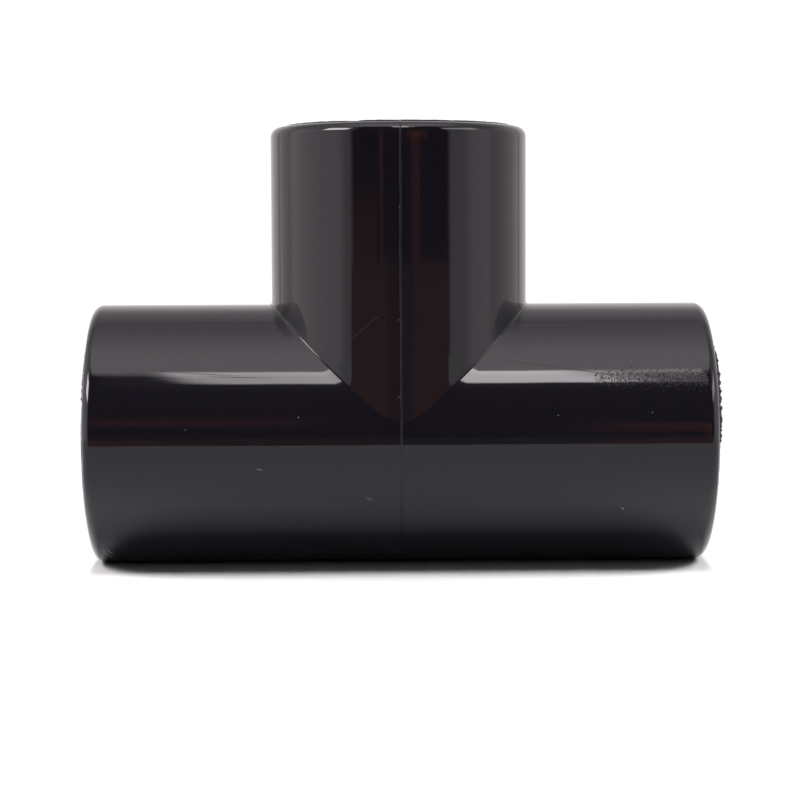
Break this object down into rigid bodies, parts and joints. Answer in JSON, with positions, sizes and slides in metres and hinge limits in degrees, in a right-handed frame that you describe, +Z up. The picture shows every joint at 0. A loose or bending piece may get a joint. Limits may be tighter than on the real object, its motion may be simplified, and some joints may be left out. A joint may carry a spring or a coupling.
{
  "type": "irrigation compression tee",
  "caption": "Smooth black plastic tee that joins drip tubing: a crossing of equal barrels with a gripping compression ring pressed into each mouth.",
  "frame": {"origin": "on the surface the run rests on, directly under the crossing of the centre lines", "axes": "+X along the run, +Z up the branch, -Y towards the front; the run's centre line is 13.2 mm above the origin"},
  "size_m": [0.0628, 0.0264, 0.0446],
  "materials": {
    "body_plastic": "glossy",
    "ring_plastic": "satin"
  },
  "bodies": {
    "root": {"tee_body": "body_plastic", "left_compression_ring": "ring_plastic", "right_compression_ring": "ring_plastic", "branch_compression_ring": "ring_plastic"}
  },
  "joints": []
}
